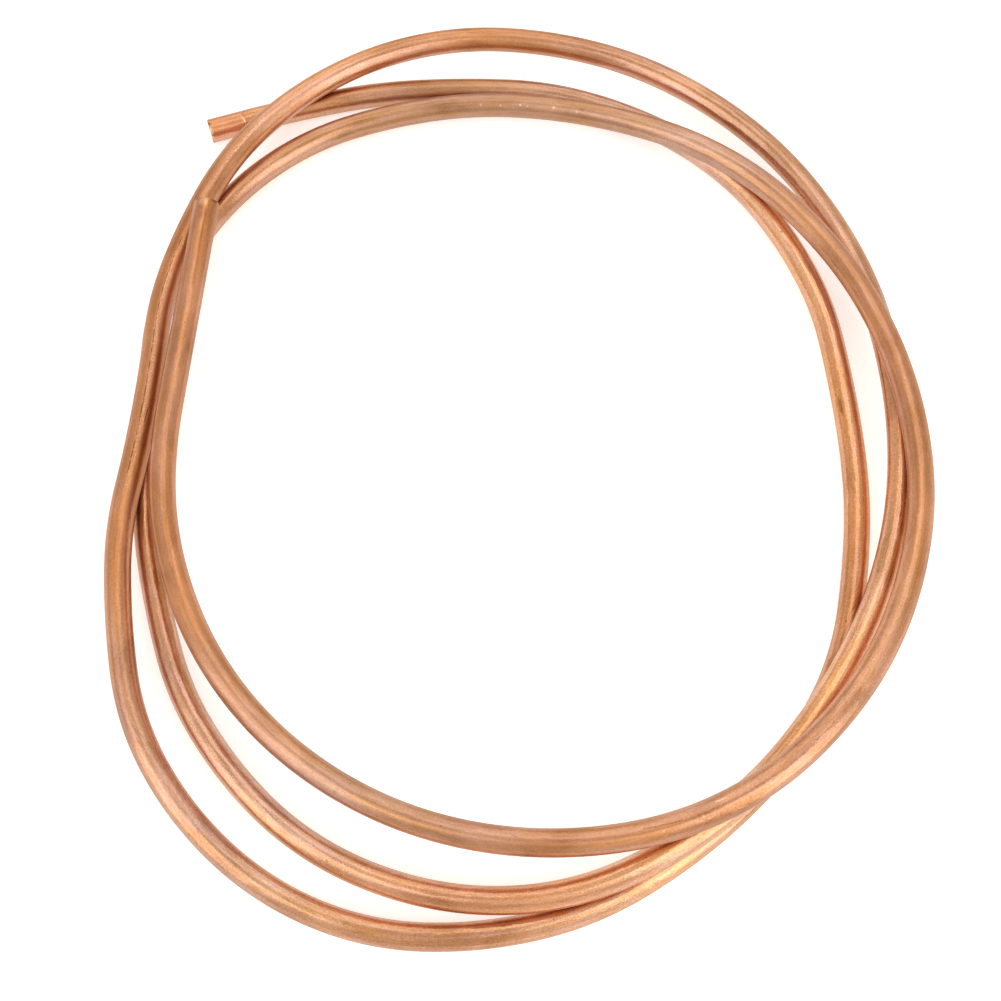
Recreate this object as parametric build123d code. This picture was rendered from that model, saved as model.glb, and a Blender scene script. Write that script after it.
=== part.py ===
from build123d import *
import math
import os

# Copper tube coil: one length of soft tube laid down in loose turns, both ends cut square

# Driving sizes, in millimetres and degrees
tube_od = 10.0
tube_wall = 1.0
coil_radius = 161.2
first_tip_angle = 132.3
first_angle = 128.0
turn_step = -24.0
last_tip_angle = 142.6

# Distance of the tube's axis from the coil's middle, once every turn step, as shares of coil_radius
radius_shares = [
    1.180, 1.059, 1.007, 0.946, 0.865, 0.806, 0.832, 0.926, 1.015, 1.131, 1.196, 1.140, 0.998, 0.909, 0.981,
    1.098, 1.162, 1.138, 1.068, 0.985, 0.923, 0.908, 0.932, 1.002, 1.079, 1.078, 1.010, 0.928, 0.916, 0.994,
    1.021, 0.982, 0.945, 0.936, 0.922, 0.926, 0.951, 0.979, 0.994, 0.972, 0.942, 0.906, 0.867, 0.839,
]
first_tip_share = 1.217
last_tip_share = 0.986

# Height of the tube's axis above where it lies on the floor, at the same places, as shares of tube_od
lift_shares = [
    0.00, 0.00, 0.00, 0.00, 0.00, 0.00, 0.00, 0.00, 0.00, 0.02, 0.19, 0.51, 0.86, 1.04, 1.09,
    1.05, 0.90, 0.68, 0.54, 0.53, 0.64, 0.84, 1.01, 1.01, 0.79, 0.44, 0.16, 0.03, 0.00, 0.03,
    0.16, 0.39, 0.70, 1.05, 1.38, 1.67, 1.89, 2.03, 2.03, 1.86, 1.66, 1.58, 1.61, 1.74,
]
last_tip_lift_share = 2.11

# Sizes that follow
tube_radius = tube_od / 2
bore_radius = tube_radius - tube_wall


def axis_point(angle, radius_share, lift_share):
    """A point of the tube's axis, from its bearing and shares of the driving sizes."""
    bearing = math.radians(angle)
    reach = coil_radius * radius_share
    height = tube_radius + tube_od * lift_share
    return Vector(reach * math.cos(bearing), reach * math.sin(bearing), height)


def heading_between(before, here, after):
    """Heading, at the middle one of three points, of the circle through them."""
    first = here - before
    second = after - here
    return (first * (second.length / first.length) + second * (first.length / second.length)).normalized()


def bend_pair(start, end, heading, leaving):
    """Two arcs that meet smoothly and carry the tube from start, heading that way, to end."""
    chord = end - start
    square = 2 * (heading.dot(leaving) - 1)
    linear = -2 * chord.dot(heading + leaving)
    reach = 2 * chord.dot(chord) / (-linear + math.sqrt(linear * linear - 4 * square * chord.dot(chord)))
    near = start + heading * reach
    far = end - leaving * reach
    middle = (near + far) * 0.5
    first = TangentArc(start, middle, tangent=heading)
    second = TangentArc(middle, end, tangent=far - near)
    return [first.edge(), second.edge()]


# Path of the axis: a straight run at each end and smooth bends between
angles = [first_angle + turn_step * i for i in range(len(radius_shares))]
places = [axis_point(*row) for row in zip(angles, radius_shares, lift_shares)]
first_tip = axis_point(first_tip_angle, first_tip_share, lift_shares[0])
last_tip = axis_point(last_tip_angle, last_tip_share, last_tip_lift_share)
headings = [heading_between(*places[i - 1 : i + 2]) for i in range(1, len(places) - 1)]
headings.insert(0, (places[0] - first_tip).normalized())
headings.append((last_tip - places[-1]).normalized())

edges = [Line(first_tip, places[0]).edge()]
for i in range(len(places) - 1):
    edges += bend_pair(places[i], places[i + 1], headings[i], headings[i + 1])
edges.append(Line(places[-1], last_tip).edge())
axis_path = Wire(edges)

# Tube: a ring carried along the path
ring = Plane(origin=first_tip, z_dir=headings[0]) * (Circle(tube_radius) - Circle(bore_radius))
swept_tube = sweep(ring, path=axis_path)

# Laid on the floor with the middle of its footprint at the origin
box = swept_tube.bounding_box()
lay_down = Pos(-box.center().X, -box.center().Y, -box.min.Z)
copper_tube = lay_down * swept_tube
copper_tube.label = "copper_tube"

ring_area = math.pi * (tube_radius * tube_radius - bore_radius * bore_radius)
bends = [edge.radius for edge in axis_path.edges() if edge.geom_type == GeomType.CIRCLE]
print("tube length", round(axis_path.length, 1), "bend radii", round(min(bends), 1), "to", round(max(bends), 1))
print("volume over ring area times length", round(copper_tube.volume / (ring_area * axis_path.length), 5))
print("box", copper_tube.bounding_box(), "valid", copper_tube.is_valid)
print("first tip", lay_down * Pos(first_tip), "heading out", -headings[0])
print("last tip", lay_down * Pos(last_tip), "heading out", headings[-1])
print("first run", round(edges[0].length, 3), "last run", round(edges[-1].length, 3))

os.makedirs("parts", exist_ok=True)
export_step(copper_tube, "parts/copper_tube.step")
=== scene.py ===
import math

import bpy
import numpy as np
from mathutils import Matrix, Vector


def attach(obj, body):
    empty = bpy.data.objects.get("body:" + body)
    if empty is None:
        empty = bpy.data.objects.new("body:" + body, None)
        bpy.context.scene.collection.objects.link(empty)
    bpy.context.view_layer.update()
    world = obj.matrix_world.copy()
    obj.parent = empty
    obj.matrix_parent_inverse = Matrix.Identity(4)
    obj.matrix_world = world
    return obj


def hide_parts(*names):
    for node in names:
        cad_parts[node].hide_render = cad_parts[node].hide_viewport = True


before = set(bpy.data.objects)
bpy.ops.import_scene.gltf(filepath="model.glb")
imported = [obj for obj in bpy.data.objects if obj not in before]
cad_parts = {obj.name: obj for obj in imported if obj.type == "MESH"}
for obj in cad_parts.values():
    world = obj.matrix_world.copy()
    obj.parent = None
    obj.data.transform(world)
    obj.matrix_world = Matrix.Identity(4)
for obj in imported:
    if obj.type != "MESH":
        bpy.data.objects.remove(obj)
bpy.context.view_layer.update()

# Sizes of the tube, in metres; its route is read from the CAD solid
TUBE_OD = 0.010
TUBE_WALL = 0.001
TUBE_RADIUS = TUBE_OD / 2
BORE_RADIUS = TUBE_RADIUS - TUBE_WALL

# The skin lies this far inside the CAD solid, and a CAD ring's points lie this near its seam
SKIN_INSIDE = 0.00002
NEAR_SEAM = 0.0005

# Points this close together are one point, in decimals and in metres
SAME_DECIMALS = 8
SAME_PLACE = 1e-9

# How finely the axis and the skin are divided: numbers of points, metres between rings, the finer ends
RUN_POINTS = 60
ARC_POINTS = 40
LIP_POINTS = 5
SCORE_POINTS = 9
SIDES = 76
RING_STEP = 0.0040
BORE_STEP = 0.0105
END_STEP = 0.0005
END_LENGTH = 0.020

# Room beside the skin: spacing of axis points, a point's own stretch left out, far off, parts to work in
AXIS_STEP = 0.0020
OWN_STRETCH = 0.040
FAR_OFF = 1.0
SPACE_PARTS = 40

# Map for baking: rows, the gap between them, and the part of a row's width that is used
MAP_ROWS = 14
ROW_GAP = 0.06
ROW_START = 0.01
ROW_WIDTH = 0.97

# Cut ends: a rounded lip, a ragged edge, and the score of a first try at cutting near the first end
LIP = 0.00022
RAGGED = 0.00016
RAGGED_REACH = 0.0012
LAST_EDGE_TURN = 1.7
# Waves of the ragged edge: how many to a turn, share of the whole, and phase
RAGGED_WAVES = [(3, 0.5, 0.6), (7, 0.3, 2.1), (11, 0.2, 0.0)]
SCORE_AT = 0.0149
SCORE_WIDTH = 0.00055
SCORE_DEPTH = 0.00013

# Marks on the outside: distance along in metres and angle round in degrees, 0 outward and 90 up.
# A scratch has two ends, a width and a strength; a speck has a place, a radius and a strength.
# Dark lines: scratches and a smudge, but the line from 2.960 to 2.997 is a painted dark reflection beside
# the last end's highlight, and the short one at 0.902 is a crease's painted shade
DARK_SCRATCHES_AND_SHADE = [
    ((0.347, 129), (0.357, 124), 0.0014, 0.7), ((0.902, 116), (0.909, 121), 0.0006, 0.8),
    ((2.617, 93), (2.632, 101), 0.0006, 0.5), ((2.960, 109), (2.997, 107), 0.0013, 0.55),
    ((2.674, 95), (2.678, 114), 0.0005, 0.4),
]
# The broken line and the two rows of painted glints are cut up by noise.
BROKEN_LINE = ((0.878, 89), (0.988, 95), 0.0005, 0.9)
WHOLE_LINE = ((0.902, 91), (0.918, 93), 0.0005, 0.8)
# Dark specks: a real speck at 0.603, and at both cut ends specks that are partly burrs and partly painted
# shade on the rims
DARK_SPECKS_AND_RIM_SHADE = [
    (0.603, 92, 0.0005, 0.9), (0.0003, 36, 0.0013, 1.0), (0.0002, 88, 0.0009, 1.0),
    (0.0002, 198, 0.0010, 0.9), (3.0000, 130, 0.0011, 0.6), (3.0000, 144, 0.0010, 0.7),
    (3.0000, 52, 0.0011, 0.6), (3.0000, 38, 0.0010, 0.7),
]
GLINT_ROWS = [((1.006, 110), (1.052, 97), 0.0018, 0.6), ((0.874, 98), (0.990, 103), 0.0024, 0.45)]
# Painted highlights: a glint along a scratch, bright specks that are partly painted glints, the lit lip of
# the first cut, the lit edge of the score, and a highlight on the last cut's tip
GLINTING_SCRATCHES = [((2.5995, 111), (2.6045, 116), 0.0005, 0.9)]
BRIGHT_SPECKS_AND_HIGHLIGHTS = [
    (2.1730, 123, 0.0007, 1.0), (2.1815, 126, 0.0006, 1.0), (2.1900, 121, 0.0007, 1.0),
    (2.1930, 123, 0.0005, 0.8), (2.2045, 121, 0.0008, 0.9), (2.2145, 125, 0.0006, 0.7),
    (2.6245, 74, 0.0005, 0.8), (2.6100, 82, 0.0006, 0.7), (2.6085, 63, 0.0005, 0.7),
    (0.0004, 116, 0.0010, 1.0), (0.0004, 136, 0.0010, 1.0), (0.0004, 156, 0.0009, 1.0),
    (0.0149, 98, 0.0006, 0.9), (0.0149, 109, 0.0006, 1.0), (0.0149, 120, 0.0006, 0.9),
    (2.9985, 86, 0.0022, 0.8),
]
# Tints: dark for the marks and their painted shade, pale for the painted highlights and glints
DARK_MARK_AND_SHADE_TINT = (0.42, 0.38, 0.34, 1)
PAINTED_HIGHLIGHT_TINT = (1.38, 1.75, 2.10, 1)
DARK_DEPTH = 0.00008
# Where a speck starts to fade, as a share of its radius, and where a scratch does and ends, of its width
SPECK_CORE = 0.5
SCRATCH_CORE = 0.2
SCRATCH_EDGE = 0.6
SCRATCH_TAPER = 2

# Painted shade where strands lie close: full at the first distance, none past the second, wider on two
# stretches
PAINTED_SHADE_WITHIN = 0.0004
PAINTED_SHADE_UP_TO = 0.0030
DEEP_PAINTED_SHADE_UP_TO = 0.0075
DEEP_PAINTED_SHADE = [(0.860, 0.985), (2.850, 2.965)]
DEEP_PAINTED_SHADE_FADE = 0.020
PAINTED_SHADE_TINTS = [(0.0, (0.30, 0.20, 0.14)), (0.35, (0.80, 0.72, 0.66)), (1.0, (1, 1, 1))]

# Copper's shine: how metallic, the tint at grazing angles, a little dust, and roughness by noise
METALLIC = 0.85
GRAZING = (0.80, 0.76, 0.75, 1.0)
DUST = 0.05
DUST_SPREAD = 0.30
LEAST_ROUGH = 0.12
FLECK_ROUGH = -0.12
PATCH_ROUGH = 0.20

# Finishes: a tint on the copper's colour and a roughness
COPPER = (0.700, 0.370, 0.222)
FINISHES = {
    "plain": ((1.04, 1.01, 1.00), 0.25),
    "bright": ((1.27, 1.29, 1.20), 0.225),
    "orange": ((1.10, 0.98, 0.82), 0.24),
    "pale": ((0.98, 1.07, 1.25), 0.26),
    "grey": ((0.85, 0.91, 1.02), 0.29),
    "brown": ((0.93, 0.82, 0.71), 0.305),
    "dull": ((0.79, 0.81, 0.81), 0.315),
}
# Where each finish is centred along the tube, in metres, and how far its edges wander
STRETCHES = [
    (0.004, "orange"), (0.110, "dull"), (0.200, "pale"), (0.270, "bright"), (0.400, "orange"),
    (0.480, "plain"), (0.560, "bright"), (0.640, "plain"), (0.715, "pale"), (0.860, "brown"),
    (1.010, "brown"), (1.090, "plain"), (1.160, "brown"), (1.290, "pale"), (1.400, "plain"),
    (1.530, "bright"), (1.620, "bright"), (1.690, "orange"), (1.770, "pale"), (1.900, "plain"),
    (2.060, "plain"), (2.140, "dull"), (2.270, "grey"), (2.380, "brown"), (2.560, "plain"),
    (2.660, "brown"), (2.740, "grey"), (2.820, "brown"), (2.990, "brown"),
]
EDGE_WANDER = 0.030

# How shiny the dullest finish is, the brightest being 1, and the grain's share from dull to bright
DULL_SHINY = 0.45
GRAIN_FROM, GRAIN_SHARES = 0.4, (0.6, 1.3)

# The clean bit before the score: its tint, how sharply it ends, and the share of streaks and shine it keeps
CLEAN_TINT = (1.06, 1.05, 1.20, 1)
CLEAN_EDGE = 0.0004
CLEAN_STREAKS = 0.3
CLEAN_SHINY = 0.4

# Noises on the skin: length along and width round in metres, detail, shift and distortion
NOISES = {
    "bands": (0.090, 0.0050, 2.0, 0.0, 0.3),
    "tarnish": (0.016, 0.0032, 3.0, 5.3, 0.8),
    "streaks": (0.060, 0.0013, 3.0, 3.7, 0.0),
    "patches": (0.030, 0.0110, 3.0, 8.1, 0.6),
    "flecks": (0.0060, 0.0008, 3.0, 6.6, 0.5),
    "grain": (0.0008, 0.0006, 2.0, 1.9, 0.0),
    "dirt": (0.0032, 0.0016, 2.0, 4.4, 0.0),
    "gaps": (0.0050, 1.0, 3.0, 2.2, 0.0),
}
NOISE_ROUGHNESS = 0.55
# Tint that a noise gives the copper, by its value; the pale tops of the flecks and grain, shown as far as
# the finish is shiny, are partly painted sparkle
NOISE_TINTS = {
    "bands": [(0.36, (1.01, 0.95, 0.80)), (0.50, (1, 1, 1)), (0.64, (1.00, 1.04, 1.18))],
    "tarnish": [(0.36, (0.99, 0.96, 0.84)), (0.50, (1, 1, 1)), (0.64, (1.01, 1.03, 1.13))],
    "patches": [(0.34, (0.83, 0.79, 0.73)), (0.50, (1, 1, 1)), (0.66, (1.13, 1.14, 1.16))],
    "streaks": [(0.34, (0.89, 0.84, 0.79)), (0.50, (1, 1, 1)), (0.66, (1.06, 1.09, 1.13))],
    "flecks": [
        (0.30, (0.90, 0.86, 0.80)), (0.48, (1, 1, 1)),
        (0.60, (1.03, 1.05, 1.06)), (0.74, (1.18, 1.28, 1.36)),
    ],
    "grain": [(0.30, (0.87, 0.82, 0.77)), (0.50, (1, 1, 1)), (0.70, (1.10, 1.16, 1.22))],
    "dirt": [(0.72, (1, 1, 1)), (0.78, (0.66, 0.60, 0.54))],
}
# Depth of the relief that a noise gives the skin, in metres
RELIEFS = {"patches": 0.00050, "bands": 0.00006, "streaks": 0.00003, "flecks": 0.00004, "grain": 0.00004}
# Values of the noise between which the broken line and the glints come in
GAPS_BETWEEN = (0.42, 0.56)
GLINTS_BETWEEN = (0.50, 0.62)


def unit(v):
    """Vectors of length one, along the last axis."""
    return v / np.linalg.norm(v, axis=-1, keepdims=True)


def column_array(parts, key, width, kind):
    """One property of a mesh's parts, as an array with that many columns."""
    values = np.empty(len(parts) * width, kind)
    parts.foreach_get(key, values)
    return values.reshape(-1, width)


def seam_centres(mesh):
    """Where the CAD tube's bends meet, from the first end to the last.

    The mesh has one unbroken run of points for each face of the solid: a run ends where no triangle
    reaches past. An outside face is one whose normals point away from its middle. Its points, moved in
    along their normals, lie near the axis, and so tell the ring at either end of the face. A seam is the
    middle of such a ring.
    """
    points = column_array(mesh.vertices, "co", 3, np.float32).astype(float)
    triangles = column_array(mesh.polygons, "vertices", 3, np.int32)
    normals = np.empty_like(points)
    normals[triangles.reshape(-1)] = column_array(mesh.corner_normals, "vector", 3, np.float32)
    reaching = np.zeros(len(points), int)
    np.add.at(reaching, triangles.min(1), 1)
    np.add.at(reaching, triangles.max(1), -1)
    run_ends = np.flatnonzero(np.cumsum(reaching) == 0)
    pairs = []
    for run in np.split(np.arange(len(points)), run_ends[:-1] + 1):
        outward = ((points[run] - points[run].mean(0)) * normals[run]).sum(1).mean()
        if outward > TUBE_RADIUS / 2:
            near_axis = points[run] - TUBE_RADIUS * normals[run]
            from_middle = near_axis - near_axis.mean(0)
            along = from_middle @ np.linalg.svd(from_middle, full_matrices=False)[2][0]
            rings = [along < along.min() + NEAR_SEAM, along > along.max() - NEAR_SEAM]
            places = [np.unique(points[run][ring].round(SAME_DECIMALS), axis=0) for ring in rings]
            pairs.append([place.mean(0) for place in places])
    return chained(np.array(pairs))


def chained(pairs):
    """Seams in order along the tube, from pairs in any order, one pair for each face.

    A seam that no other pair has is an end of the tube, and the first end is the lower one.
    From there the chain crosses to the pair's other seam, goes on to the pair that meets it, and so on.
    """
    seams = pairs.reshape(-1, 3)
    apart = np.linalg.norm(seams[:, None] - seams, axis=-1)
    np.fill_diagonal(apart, np.inf)
    free = np.flatnonzero(apart.min(1) > TUBE_RADIUS)
    at = free[seams[free, 2].argmin()]
    order = [at]
    for _ in pairs:
        across = at + 1 - 2 * (at % 2)
        order.append(across)
        at = apart[across].argmin()
    return seams[order]


def arc(start, end, heading, count):
    """Points along the circle arc that leaves start along heading and ends at end."""
    chord = end - start
    length = np.linalg.norm(chord)
    angle = math.acos(min(1.0, heading @ chord / length))
    side = unit(chord - heading * (heading @ chord))
    radius = length / (2 * math.sin(angle))
    q = np.linspace(0, 2 * angle, count)[:, None]
    return start + radius * (heading * np.sin(q) + side * (1 - np.cos(q)))


def tube_axis(seams):
    """The axis as closely spaced points: a straight run at each end and circle arcs between the seams.

    An arc leaves its seam along the heading with which the one before it ends.
    """
    share = np.linspace(0, 1, RUN_POINTS)[:, None]
    runs = [seams[0] + (seams[1] - seams[0]) * share]
    heading = unit(seams[1] - seams[0])
    for start, end in zip(seams[1:-2], seams[2:-1]):
        runs.append(arc(start, end, heading, ARC_POINTS))
        chord = unit(end - start)
        heading = 2 * (heading @ chord) * chord - heading
    runs.append(seams[-2] + (seams[-1] - seams[-2]) * share)
    line = np.concatenate(runs)
    keep = np.r_[True, np.linalg.norm(np.diff(line, axis=0), axis=1) > SAME_PLACE]
    return line[keep]


def tube_profile(length):
    """The tube's wall cut lengthwise, as one closed outline: distance along and radius of each ring.

    It runs along the outside from the first end to the last, over the cut, and back along the bore.
    The lip is a quarter round of radius LIP, and the score a smooth dip, one plus a cosine, in the outside.
    """
    quarter = np.linspace(0, np.pi / 2, LIP_POINTS)
    lip_at, lip_drop = LIP * (1 - np.sin(quarter)), LIP * (1 - np.cos(quarter))
    near_end = np.arange(LIP + END_STEP, END_LENGTH, END_STEP)
    score = SCORE_AT + SCORE_WIDTH * np.linspace(-1, 1, SCORE_POINTS)
    near_first = np.unique(np.r_[near_end[np.abs(near_end - SCORE_AT) > SCORE_WIDTH + END_STEP / 2], score])
    middle = np.linspace(END_LENGTH, length - END_LENGTH, int(length / RING_STEP))
    outside_at = np.r_[lip_at[::-1], near_first, middle, length - near_end[::-1], length - lip_at]
    outside = np.full(len(outside_at), TUBE_RADIUS - SKIN_INSIDE)
    outside[:LIP_POINTS] -= lip_drop[::-1]
    outside[-LIP_POINTS:] -= lip_drop
    dip = np.clip((outside_at - SCORE_AT) / SCORE_WIDTH, -1, 1)
    outside -= SCORE_DEPTH * (1 + np.cos(np.pi * dip)) / 2
    bore_at = np.r_[length, np.linspace(length - RAGGED_REACH, RAGGED_REACH, int(length / BORE_STEP)), 0]
    return np.r_[outside_at, bore_at], np.r_[outside, np.full(len(bore_at), BORE_RADIUS)]


def ragged_edge(turn):
    """How far the cut stands off from square, round the tube: a sum of sine waves."""
    return RAGGED * sum(share * np.sin(count * turn + phase) for count, share, phase in RAGGED_WAVES)


def closed_tube(line, ring_at, ring_radius, sides):
    """The tube's skin as a grid, ring number times angle, that closes both ways.

    A point is the axis at the ring's distance, plus the ring's radius turned by the angle from sideways
    to upward. Near a cut the point also slides along the axis by the ragged edge, less so further in.
    Returns the points and, for each, its place on the straightened tube: along, sideways and upward.
    """
    distance = np.r_[0, np.cumsum(np.linalg.norm(np.diff(line, axis=0), axis=1))]
    tangent = unit(np.gradient(line, distance, axis=0))
    centre = np.stack([np.interp(ring_at, distance, line[:, k]) for k in range(3)], -1)
    along = unit(np.stack([np.interp(ring_at, distance, tangent[:, k]) for k in range(3)], -1))
    sideways = unit(np.cross(np.array([0.0, 0.0, 1.0]), along))
    upward = np.cross(along, sideways)
    turn = np.linspace(0, 2 * np.pi, sides, endpoint=False)
    from_first, from_last = ring_at, distance[-1] - ring_at
    fade_first = np.clip(1 - from_first / RAGGED_REACH, 0, 1)[:, None]
    fade_last = np.clip(1 - from_last / RAGGED_REACH, 0, 1)[:, None]
    slide = fade_first * ragged_edge(turn) + fade_last * ragged_edge(turn + LAST_EDGE_TURN)
    out_side, out_up = ring_radius[:, None] * np.cos(turn), ring_radius[:, None] * np.sin(turn)
    steps = [(out_side, sideways), (out_up, upward), (slide, along)]
    points = centre[:, None] + sum(amount[..., None] * way[:, None] for amount, way in steps)
    return points, np.stack([ring_at[:, None] + slide, out_side, out_up], -1)


def space_beside(points, ring_at, line):
    """Room at each point of the skin: distance to the axis, its own stretch left out, less the radius."""
    distance = np.r_[0, np.cumsum(np.linalg.norm(np.diff(line, axis=0), axis=1))]
    at = np.arange(0, distance[-1], AXIS_STEP)
    axis = np.stack([np.interp(at, distance, line[:, k]) for k in range(3)], -1)
    nearest = np.empty(points.shape[:2])
    for rings in np.array_split(np.arange(len(points)), SPACE_PARTS):
        apart = np.linalg.norm(points[rings][:, :, None] - axis, axis=-1)
        own = np.abs(ring_at[rings, None] - at) < OWN_STRETCH
        nearest[rings] = np.where(own[:, None], FAR_OFF, apart).min(-1)
    return nearest - TUBE_RADIUS


def rows_map(rings_along, sides, rows):
    """Map corners for the grid's quads: the skin's way round its outline, cut into rows above each other.

    Across a row runs the distance along the outline, and up the row the turn round the tube.
    """
    row_length = rings_along[-1] / rows
    start = np.minimum((rings_along[:-1] / row_length).astype(int), rows - 1)
    across = np.stack([rings_along[:-1], rings_along[1:]], -1) / row_length - start[:, None]
    height = np.stack([np.arange(sides), np.arange(1, sides + 1)], -1) / sides * (1 - ROW_GAP) + ROW_GAP / 2
    u = np.broadcast_to((ROW_START + ROW_WIDTH * across)[:, None, [0, 0, 1, 1]], (len(start), sides, 4))
    v = np.broadcast_to(height[None, :, [0, 1, 1, 0]], (len(start), sides, 4)) + start[:, None, None]
    return np.stack([u, v / rows], -1)


def grid_mesh(name, points, straight, space, corners):
    """A mesh from a grid of points that closes both ways, facing outward.

    Each point keeps its place on the straightened tube and the room beside it as attributes.
    """
    rings, sides = points.shape[:2]
    ring, side = np.meshgrid(np.arange(rings), np.arange(sides), indexing="ij")
    next_ring, next_side = (ring + 1) % rings * sides, (side + 1) % sides
    here = ring * sides
    quads = np.stack([here + side, here + next_side, next_ring + next_side, next_ring + side], -1)
    mesh = bpy.data.meshes.new(name)
    mesh.vertices.add(rings * sides)
    mesh.vertices.foreach_set("co", points.reshape(-1).astype(np.float32))
    mesh.loops.add(quads.size)
    mesh.loops.foreach_set("vertex_index", quads.reshape(-1).astype(np.int32))
    mesh.polygons.add(rings * sides)
    mesh.polygons.foreach_set("loop_start", np.arange(0, quads.size, 4, dtype=np.int32))
    mesh.polygons.foreach_set("use_smooth", np.ones(rings * sides, bool))
    layout = mesh.uv_layers.new(name="OFBake")
    layout.uv.foreach_set("vector", corners.reshape(-1).astype(np.float32))
    strand = mesh.attributes.new("strand", "FLOAT_VECTOR", "POINT")
    strand.data.foreach_set("vector", straight.reshape(-1).astype(np.float32))
    beside = mesh.attributes.new("space", "FLOAT", "POINT")
    beside.data.foreach_set("value", space.reshape(-1).astype(np.float32))
    mesh.update()
    mesh.validate()
    return mesh


def add(tree, kind, inputs=None, **settings):
    """A node of that kind in the tree, with its settings, and with its inputs set or linked."""
    node = tree.nodes.new("ShaderNode" + kind)
    for key, value in settings.items():
        setattr(node, key, value)
    for key, value in (inputs or {}).items():
        if isinstance(value, bpy.types.NodeSocket):
            tree.links.new(value, node.inputs[key])
        else:
            node.inputs[key].default_value = value
    return node


def math_of(tree, operation, *values):
    """The result of a sum, product or other step on numbers or sockets."""
    return add(tree, "Math", dict(enumerate(values)), operation=operation).outputs[0]


def span(tree, value, low, high, to_low=0.0, to_high=1.0):
    """The value carried from the range low to high over to another range, without going past it."""
    inputs = {"Value": value, "From Min": low, "From Max": high, "To Min": to_low, "To Max": to_high}
    return add(tree, "MapRange", inputs).outputs[0]


def drawn_noise(tree, strand, along, around, detail, shift, distortion):
    """Noise whose features are that long along the tube and that wide around it."""
    scale = (1 / along, 1 / around, 1 / around)
    placing = {"Vector": strand, "Scale": scale, "Location": (shift, shift, shift)}
    place = add(tree, "Mapping", placing).outputs[0]
    inputs = {"Vector": place, "Scale": 1.0, "Detail": detail, "Distortion": distortion}
    return add(tree, "TexNoise", inputs | {"Roughness": NOISE_ROUGHNESS}).outputs["Fac"]


def ramp(tree, value, stops):
    """Colour and alpha by a value from 0 to 1: pairs of a place and a colour."""
    node = add(tree, "ValToRGB", {"Fac": value})
    places = node.color_ramp.elements
    while len(places) < len(stops):
        places.new(0.5)
    for element, (place, colour) in zip(places, stops):
        element.position = place
        element.color = colour
    return node


def times(tree, colour, tint, share=1.0):
    """Two colours multiplied, by a share; 6, 7 and 2 are the node's colour sockets."""
    node = add(tree, "Mix", {0: share, 6: colour, 7: tint}, data_type="RGBA", blend_type="MULTIPLY")
    return node.outputs[2]


def tinted(tree, colour, value, stops, share=1.0):
    """The colour multiplied by a tint that a value from 0 to 1 picks."""
    tints = ramp(tree, value, [(place, (*tint, 1.0)) for place, tint in stops])
    return times(tree, colour, tints.outputs["Color"], share)


def spot(tree, strand, s, angle, radius, strength):
    """The strength within a radius of a place, given by distance along and angle round, fading to 0."""
    a = math.radians(angle)
    centre = (s, TUBE_RADIUS * math.cos(a), TUBE_RADIUS * math.sin(a))
    off = add(tree, "VectorMath", {0: strand, 1: centre}, operation="DISTANCE").outputs["Value"]
    return span(tree, off, radius * SPECK_CORE, radius, strength, 0.0)


def scratch(tree, strand, start, end, width, strength):
    """The strength on a thin line between two places, each a distance along and an angle round, else 0."""
    s, middle, half = strand_s(tree, strand), (start[0] + end[0]) / 2, (end[0] - start[0]) / 2
    a = math.radians((start[1] + end[1]) / 2)
    slope = TUBE_RADIUS * math.radians(end[1] - start[1]) / (end[0] - start[0])
    sideways = (-slope, -math.sin(a), math.cos(a))
    outward = (0, math.cos(a), math.sin(a))
    across = add(tree, "VectorMath", {0: strand, 1: sideways}, operation="DOT_PRODUCT")
    facing = add(tree, "VectorMath", {0: strand, 1: outward}, operation="DOT_PRODUCT")
    off = math_of(tree, "ABSOLUTE", math_of(tree, "ADD", across.outputs["Value"], slope * middle))
    line = span(tree, off, width * SCRATCH_CORE, width * SCRATCH_EDGE, strength, 0.0)
    along = math_of(tree, "ABSOLUTE", math_of(tree, "SUBTRACT", s, middle))
    taper = span(tree, along, half - SCRATCH_TAPER * width, half, 1.0, 0.0)
    line = math_of(tree, "MULTIPLY", line, taper)
    return math_of(tree, "MULTIPLY", line, math_of(tree, "GREATER_THAN", facing.outputs["Value"], 0.0))


def most(tree, masks):
    """The largest of several masks."""
    result = masks[0]
    for mask in masks[1:]:
        result = math_of(tree, "MAXIMUM", result, mask)
    return result


def strand_s(tree, strand):
    """Distance along the tube."""
    return add(tree, "SeparateXYZ", {0: strand}).outputs[0]


def stretch_mask(tree, s, start, end):
    """One between two distances along the tube, fading to nothing outside them."""
    after = span(tree, s, start - DEEP_PAINTED_SHADE_FADE, start)
    before = span(tree, s, end, end + DEEP_PAINTED_SHADE_FADE, 1.0, 0.0)
    return math_of(tree, "MULTIPLY", after, before)


def marks(tree, strand, noise):
    """Two masks: the dark scratches and specks, with painted shade and a painted dark reflection among them,
    and the bright ones, mostly painted highlights and glints.
    """
    gaps = span(tree, noise["gaps"], *GAPS_BETWEEN)
    glints = span(tree, noise["grain"], *GLINTS_BETWEEN)
    dark = [math_of(tree, "MULTIPLY", scratch(tree, strand, *BROKEN_LINE), gaps)]
    dark += [scratch(tree, strand, *row) for row in [WHOLE_LINE, *DARK_SCRATCHES_AND_SHADE]]
    dark += [spot(tree, strand, *row) for row in DARK_SPECKS_AND_RIM_SHADE]
    rows = most(tree, [scratch(tree, strand, *row) for row in GLINT_ROWS])
    bright = [math_of(tree, "MULTIPLY", rows, glints)]
    bright += [scratch(tree, strand, *row) for row in GLINTING_SCRATCHES]
    bright += [spot(tree, strand, *row) for row in BRIGHT_SPECKS_AND_HIGHLIGHTS]
    return most(tree, dark), most(tree, bright)


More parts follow.
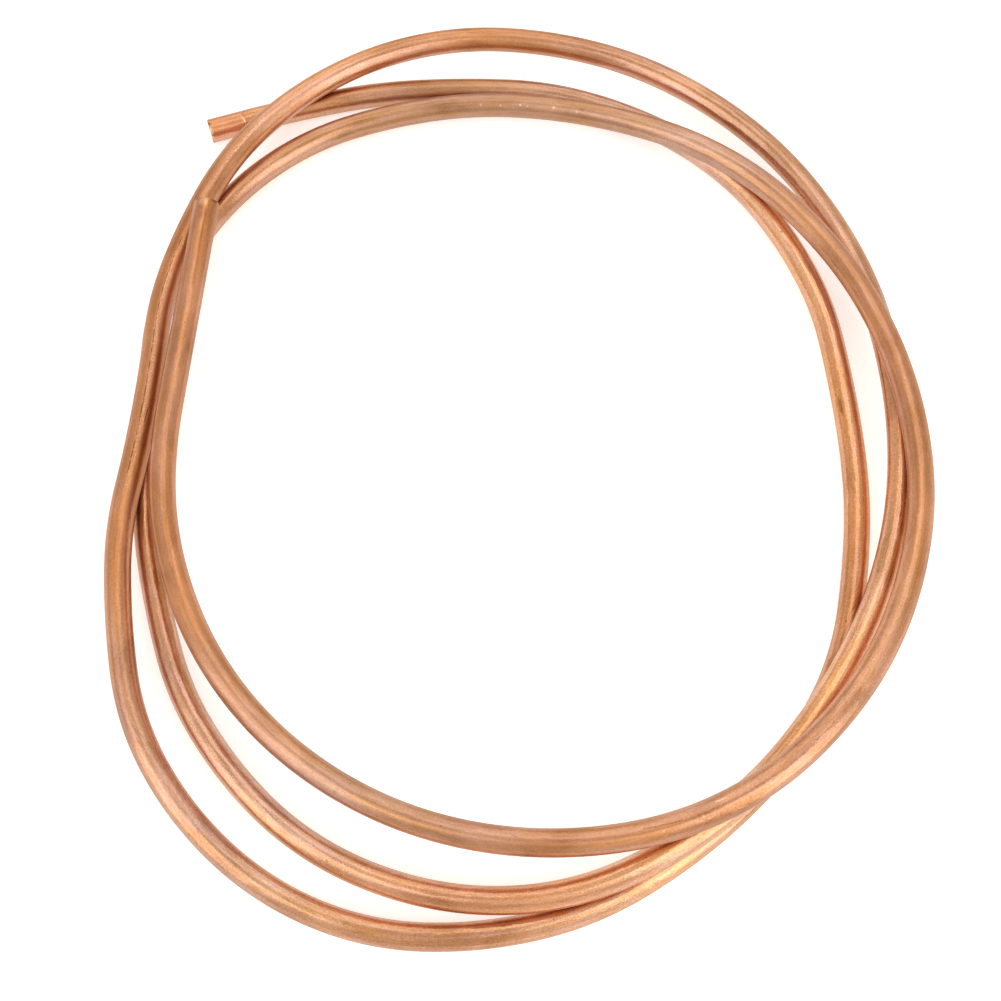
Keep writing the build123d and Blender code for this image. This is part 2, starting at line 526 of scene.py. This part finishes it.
def finish_by_stretch(tree, s, patches, length):
    """Colour and roughness along the tube, with the edges of a stretch blurred by the patches."""
    wander = math_of(tree, "MULTIPLY_ADD", patches, EDGE_WANDER, -EDGE_WANDER / 2)
    share = math_of(tree, "DIVIDE", math_of(tree, "ADD", s, wander), length)
    stops = []
    for at, name in STRETCHES:
        tint, rough = FINISHES[name]
        stops.append((at / length, (*(c * t for c, t in zip(COPPER, tint)), rough)))
    stretch = ramp(tree, share, stops)
    return stretch.outputs["Color"], stretch.outputs["Alpha"]


def painted_shade_between_strands(tree, colour, s):
    """The colour darkened where another strand lies close, as painted shade."""
    space = add(tree, "Attribute", attribute_name="space").outputs["Fac"]
    deep = most(tree, [stretch_mask(tree, s, *ends) for ends in DEEP_PAINTED_SHADE])
    reach = span(tree, deep, 0.0, 1.0, PAINTED_SHADE_UP_TO, DEEP_PAINTED_SHADE_UP_TO)
    return tinted(tree, colour, span(tree, space, PAINTED_SHADE_WITHIN, reach), PAINTED_SHADE_TINTS)


def soft_copper(length):
    """Drawn, handled copper: finishes by stretch, bands, streaks, tarnish, flecks and grain with painted
    sparkle, marks with painted highlights, and painted shade between strands.
    """
    material = bpy.data.materials.new("soft_copper")
    material.use_nodes = True
    tree = material.node_tree
    shader = tree.nodes["Principled BSDF"]
    shader.inputs["Metallic"].default_value = METALLIC
    shader.inputs["Specular Tint"].default_value = GRAZING
    shader.inputs["Sheen Weight"].default_value = DUST
    shader.inputs["Sheen Roughness"].default_value = DUST_SPREAD
    strand = add(tree, "Attribute", attribute_name="strand").outputs["Vector"]
    s = strand_s(tree, strand)
    noise = {name: drawn_noise(tree, strand, *row) for name, row in NOISES.items()}

    # Finish by stretch, how shiny it is, and the clean bit before the score
    colour, stretch_rough = finish_by_stretch(tree, s, noise["patches"], length)
    clean_end = span(tree, s, SCORE_AT - CLEAN_EDGE, SCORE_AT + CLEAN_EDGE, 1.0, 0.0)
    shiny = span(tree, stretch_rough, FINISHES["dull"][1], FINISHES["bright"][1], DULL_SHINY, 1.0)
    shiny = math_of(tree, "MULTIPLY", shiny, span(tree, clean_end, 0.0, 1.0, 1.0, CLEAN_SHINY))

    # Tints by noise, each with the share of it that shows
    shares = {
        "bands": 1.0,
        "tarnish": 1.0,
        "patches": 1.0,
        "streaks": span(tree, clean_end, 0.0, 1.0, 1.0, CLEAN_STREAKS),
        "flecks": shiny,
        "grain": span(tree, shiny, GRAIN_FROM, 1.0, *GRAIN_SHARES),
        "dirt": 1.0,
    }
    for name, share in shares.items():
        colour = tinted(tree, colour, noise[name], NOISE_TINTS[name], share)
    colour = times(tree, colour, CLEAN_TINT, clean_end)

    # Scratches and specks, with painted highlights and shade among them, and painted shade where strands lie
    # close
    dark, bright = marks(tree, strand, noise)
    colour = times(tree, colour, DARK_MARK_AND_SHADE_TINT, dark)
    colour = times(tree, colour, PAINTED_HIGHLIGHT_TINT, bright)
    tree.links.new(painted_shade_between_strands(tree, colour, s), shader.inputs["Base Color"])

    # Roughness: a noise is about a half, so half of each part is taken off again
    even = math_of(tree, "ADD", stretch_rough, -(FLECK_ROUGH + PATCH_ROUGH) / 2)
    rough = math_of(tree, "MULTIPLY_ADD", noise["flecks"], FLECK_ROUGH, even)
    rough = math_of(tree, "MULTIPLY_ADD", noise["patches"], PATCH_ROUGH, rough)
    tree.links.new(math_of(tree, "MAXIMUM", rough, LEAST_ROUGH), shader.inputs["Roughness"])

    # Relief: flecks and grain show as far as the finish is shiny, and dark marks are sunk
    shown = {"flecks": shiny, "grain": shiny}
    normal = None
    for name, depth in RELIEFS.items():
        inputs = {"Strength": shown.get(name, 1.0), "Distance": depth, "Height": noise[name]}
        if normal is not None:
            inputs["Normal"] = normal
        normal = add(tree, "Bump", inputs).outputs[0]
    inputs = {"Strength": 1.0, "Distance": DARK_DEPTH, "Height": dark, "Normal": normal}
    normal = add(tree, "Bump", inputs, invert=True).outputs[0]
    tree.links.new(normal, shader.inputs["Normal"])
    return material


# The tube
line = tube_axis(seam_centres(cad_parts["copper_tube"].data))
tube_length = np.linalg.norm(np.diff(line, axis=0), axis=1).sum()
ring_at, ring_radius = tube_profile(tube_length)
points, straight = closed_tube(line, ring_at, ring_radius, SIDES)
outline_steps = np.hypot(np.diff(np.r_[ring_at, ring_at[0]]), np.diff(np.r_[ring_radius, ring_radius[0]]))
corners = rows_map(np.r_[0, np.cumsum(outline_steps)], SIDES, MAP_ROWS)
space = space_beside(points, ring_at, line)
tube_mesh = grid_mesh("copper_tube_looks", points, straight, space, corners)
tube = bpy.data.objects.new("copper_tube_looks", tube_mesh)
bpy.context.collection.objects.link(tube)
tube.data.materials.append(soft_copper(tube_length))
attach(tube, "root")
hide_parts("copper_tube")
print("tube triangles", 2 * len(tube.data.polygons), "length", round(tube_length, 4))

# Floor: white paper, lifted to white for the camera, and evenly pale where the copper mirrors it
FLOOR_HALF = 6.0
FLOOR_LOW = 0.0002
PAPER_COLOUR = (0.9, 0.9, 0.9, 1)
CAMERA_GLOW = 0.52
MIRROR_WHITE = 1.0
floor_mesh = bpy.data.meshes.new("floor")
signs = [(-1, -1), (1, -1), (1, 1), (-1, 1)]
edge = [(x * FLOOR_HALF, y * FLOOR_HALF, -FLOOR_LOW) for x, y in signs]
floor_mesh.from_pydata(edge, [], [(0, 1, 2, 3)])
floor = bpy.data.objects.new("floor", floor_mesh)
bpy.context.collection.objects.link(floor)
paper = bpy.data.materials.new("white_paper")
paper.use_nodes = True
tree = paper.node_tree
tree.nodes.clear()
ray = add(tree, "LightPath").outputs
seen = math_of(tree, "MAXIMUM", ray["Is Glossy Ray"], ray["Is Transmission Ray"])
matte = add(tree, "BsdfDiffuse", {"Color": PAPER_COLOUR})
lift = add(tree, "Emission", {"Strength": math_of(tree, "MULTIPLY", ray["Is Camera Ray"], CAMERA_GLOW)})
direct = add(tree, "AddShader", {0: matte.outputs[0], 1: lift.outputs[0]})
mirrored = add(tree, "Emission", {"Strength": MIRROR_WHITE})
either = add(tree, "MixShader", {0: seen, 1: direct.outputs[0], 2: mirrored.outputs[0]})
add(tree, "OutputMaterial", {"Surface": either.outputs[0]})
floor_mesh.materials.append(paper)

# Light: a white room, a soft box at the front on each side, one overhead and one low at the back
ROOM_LIGHT = 0.70
ROOM_COLOUR = (1.0, 0.91, 0.76, 1.0)
BOX_COLOUR = (0.88, 0.94, 1.0)
WATTS_PER_AREA = 4.0
world = bpy.data.worlds.new("white_room")
bpy.context.scene.world = world
world.use_nodes = True
tree = world.node_tree
background = tree.nodes["Background"]
ray = add(tree, "LightPath").outputs
tree.links.new(span(tree, ray["Is Camera Ray"], 0.0, 1.0, ROOM_LIGHT, 1.0), background.inputs["Strength"])
seen = add(tree, "Mix", {0: ray["Is Camera Ray"], 6: ROOM_COLOUR, 7: (1, 1, 1, 1)}, data_type="RGBA")
tree.links.new(seen.outputs[2], background.inputs["Color"])
# Each soft box: azimuth and elevation in degrees, distance and size in metres, brightness
SOFT_BOXES = {
    "right_box": (130, 38, 1.2, (0.66, 1.60), 1.06),
    "left_box": (238, 40, 1.2, (0.66, 1.55), 0.98),
    "top_box": (8, 66, 1.3, (0.8, 0.6), 0.66),
    "back_box": (0, 30, 1.5, (1.4, 0.9), 0.50),
}
for name, (azimuth, elevation, distance, size, brightness) in SOFT_BOXES.items():
    box = bpy.data.lights.new(name, "AREA")
    box.shape = "RECTANGLE"
    box.size, box.size_y = size
    box.color = BOX_COLOUR
    box.energy = brightness * WATTS_PER_AREA * size[0] * size[1]
    lamp = bpy.data.objects.new(name, box)
    a, e = math.radians(azimuth), math.radians(elevation)
    towards = Vector((math.sin(a) * math.cos(e), math.cos(a) * math.cos(e), math.sin(e)))
    lamp.location = towards * distance
    lamp.rotation_euler = towards.to_track_quat("Z", "Y").to_euler()
    bpy.context.collection.objects.link(lamp)

# Camera, set as the photo was taken: where it looks, how it is turned, how far off, its lens in photo pixels
scene = bpy.context.scene
scene.view_settings.view_transform = "Standard"
LOOK_AT = np.array([-0.0074, -0.02135, 0.0])
ELEVATION, TURN, ROLL = np.radians([69.0, 0.027, 0.183])
DISTANCE = 0.5988
LENS_PIXELS = 1533.0
PHOTO_PIXELS = 1001.0
SENSOR = 36.0
CLIP_START = 0.01
ahead = math.cos(ELEVATION)
forward = np.array([math.sin(TURN) * ahead, math.cos(TURN) * ahead, -math.sin(ELEVATION)])
level = np.array([math.cos(TURN), -math.sin(TURN), 0.0])
over = np.cross(level, forward)
right = level * math.cos(ROLL) + over * math.sin(ROLL)
up = over * math.cos(ROLL) - level * math.sin(ROLL)
place = LOOK_AT - forward * DISTANCE
camera_data = bpy.data.cameras.new("camera")
camera_data.sensor_width = SENSOR
camera_data.lens = LENS_PIXELS * SENSOR / PHOTO_PIXELS
camera_data.clip_start = CLIP_START
camera = bpy.data.objects.new("camera", camera_data)
turned = np.stack([right, up, -forward, place], 1).tolist()
camera.matrix_world = Matrix(turned + [[0, 0, 0, 1]])
bpy.context.collection.objects.link(camera)
scene.camera = camera
